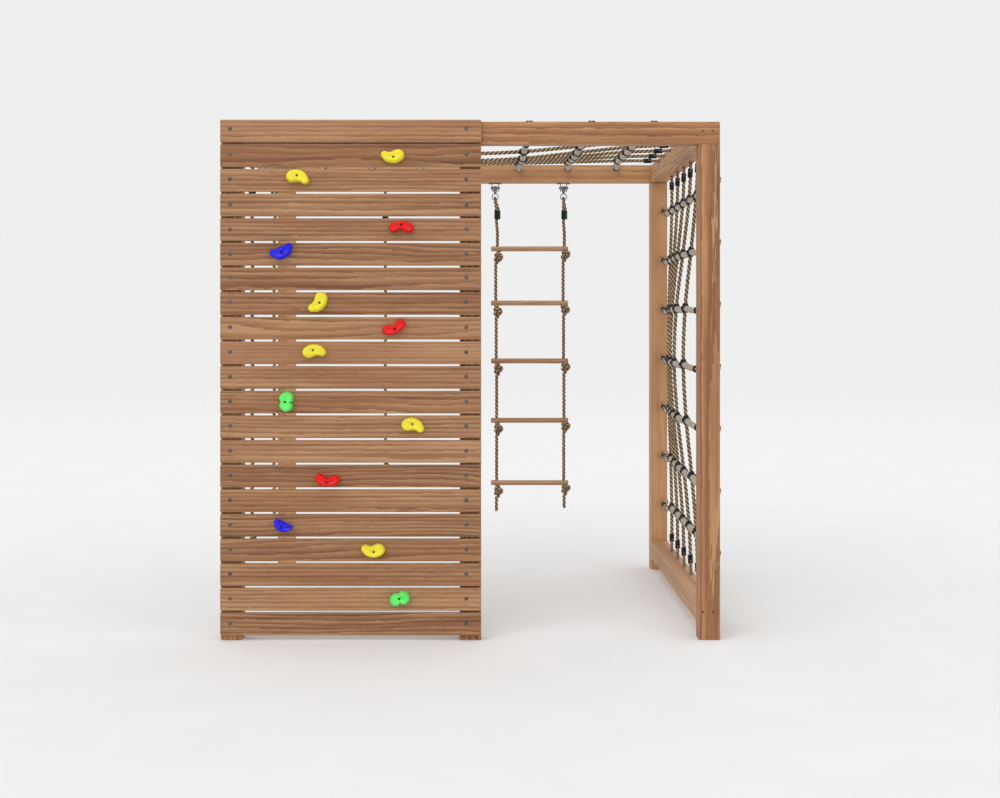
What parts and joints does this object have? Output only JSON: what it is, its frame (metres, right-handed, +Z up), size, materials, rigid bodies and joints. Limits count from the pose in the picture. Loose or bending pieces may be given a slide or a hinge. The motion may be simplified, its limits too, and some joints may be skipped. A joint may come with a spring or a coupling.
{
  "type": "wooden climbing frame with rock wall",
  "caption": "Square wooden climbing frame with a slatted rock wall, rope nets on the roof and one side, a rope ladder on hooks and hanging climbing ropes.",
  "frame": {"origin": "on the ground, in the middle of the footprint (holds included)", "axes": "+Z up, +Y from the rock wall towards the back, +X towards the side with the net"},
  "size_m": [2.09, 2.1519, 2.175],
  "materials": {
    "wood_frame": "planed, oiled brown pine with growth-ring streaks",
    "wood_board": "planed, oiled brown pine with growth-ring streaks and knots",
    "wood_rung": "turned, smooth pine",
    "hold_yellow": "moulded, matt",
    "hold_red": "moulded, glossy",
    "hold_blue": "moulded, glossy",
    "hold_green": "moulded, matt",
    "rope": "three-strand laid rope",
    "net_rope": "laid rope, the cross ropes in smooth beige tube sleeves",
    "steel": "galvanised"
  },
  "bodies": {
    "climbing_frame": {"post_front_left": "wood_frame", "post_front_centre": "wood_frame", "post_front_right": "wood_frame", "post_back_left": "wood_frame", "post_back_right": "wood_frame", "beam_top_front": "wood_frame", "beam_top_back": "wood_frame", "beam_top_left": "wood_frame", "beam_top_right": "wood_frame", "beam_bottom_right": "wood_frame", "wall_board_01": "wood_board", "wall_board_02": "wood_board", "wall_board_03": "wood_board", "wall_board_04": "wood_board", "wall_board_05": "wood_board", "wall_board_06": "wood_board", "wall_board_07": "wood_board", "wall_board_08": "wood_board", "wall_board_09": "wood_board", "wall_board_10": "wood_board", "wall_board_11": "wood_board", "wall_board_12": "wood_board", "wall_board_13": "wood_board", "wall_board_14": "wood_board", "wall_board_15": "wood_board", "wall_board_16": "wood_board", "wall_board_17": "wood_board", "wall_board_18": "wood_board", "wall_board_19": "wood_board", "wall_board_20": "wood_board", "wall_board_21": "wood_board", "hold_01_yellow": "hold_yellow", "hold_02_yellow": "hold_yellow", "hold_03_red": "hold_red", "hold_04_blue": "hold_blue", "hold_05_yellow": "hold_yellow", "hold_06_red": "hold_red", "hold_07_yellow": "hold_yellow", "hold_08_green": "hold_green", "hold_09_yellow": "hold_yellow", "hold_10_red": "hold_red", "hold_11_blue": "hold_blue", "hold_12_yellow": "hold_yellow", "hold_13_green": "hold_green", "roof_net": "net_rope", "side_net": "net_rope", "ladder_bracket_left": "steel", "ladder_bracket_right": "steel"},
    "rope_ladder": {"ladder_hanger_left": "steel", "ladder_hanger_right": "steel", "ladder_rope_left": "rope", "ladder_rope_right": "rope", "ladder_rung_1": "wood_rung", "ladder_rung_2": "wood_rung", "ladder_rung_3": "wood_rung", "ladder_rung_4": "wood_rung", "ladder_rung_5": "wood_rung"},
    "back_rope": {"climbing_rope_back": "rope"},
    "left_front_rope": {"climbing_rope_left_front": "rope"},
    "left_rear_rope": {"climbing_rope_left_rear": "rope"}
  },
  "joints": [
    {"name": "ladder_swing", "type": "hinge", "parent": "climbing_frame", "child": "rope_ladder", "pos_m": [0.3063, 1.0313, 2.0485], "axis": [1, 0, 0], "range_deg": [-35, 35]},
    {"name": "back_rope_swing", "type": "hinge", "parent": "climbing_frame", "child": "back_rope", "pos_m": [-0.47, 1.0313, 2.0485], "axis": [1, 0, 0], "range_deg": [-35, 35]},
    {"name": "left_front_rope_swing", "type": "hinge", "parent": "climbing_frame", "child": "left_front_rope", "pos_m": [-0.998, -0.3787, 2.0485], "axis": [0, 1, 0], "range_deg": [-35, 35]},
    {"name": "left_rear_rope_swing", "type": "hinge", "parent": "climbing_frame", "child": "left_rear_rope", "pos_m": [-0.998, 0.4413, 2.0485], "axis": [0, 1, 0], "range_deg": [-35, 35]}
  ]
}
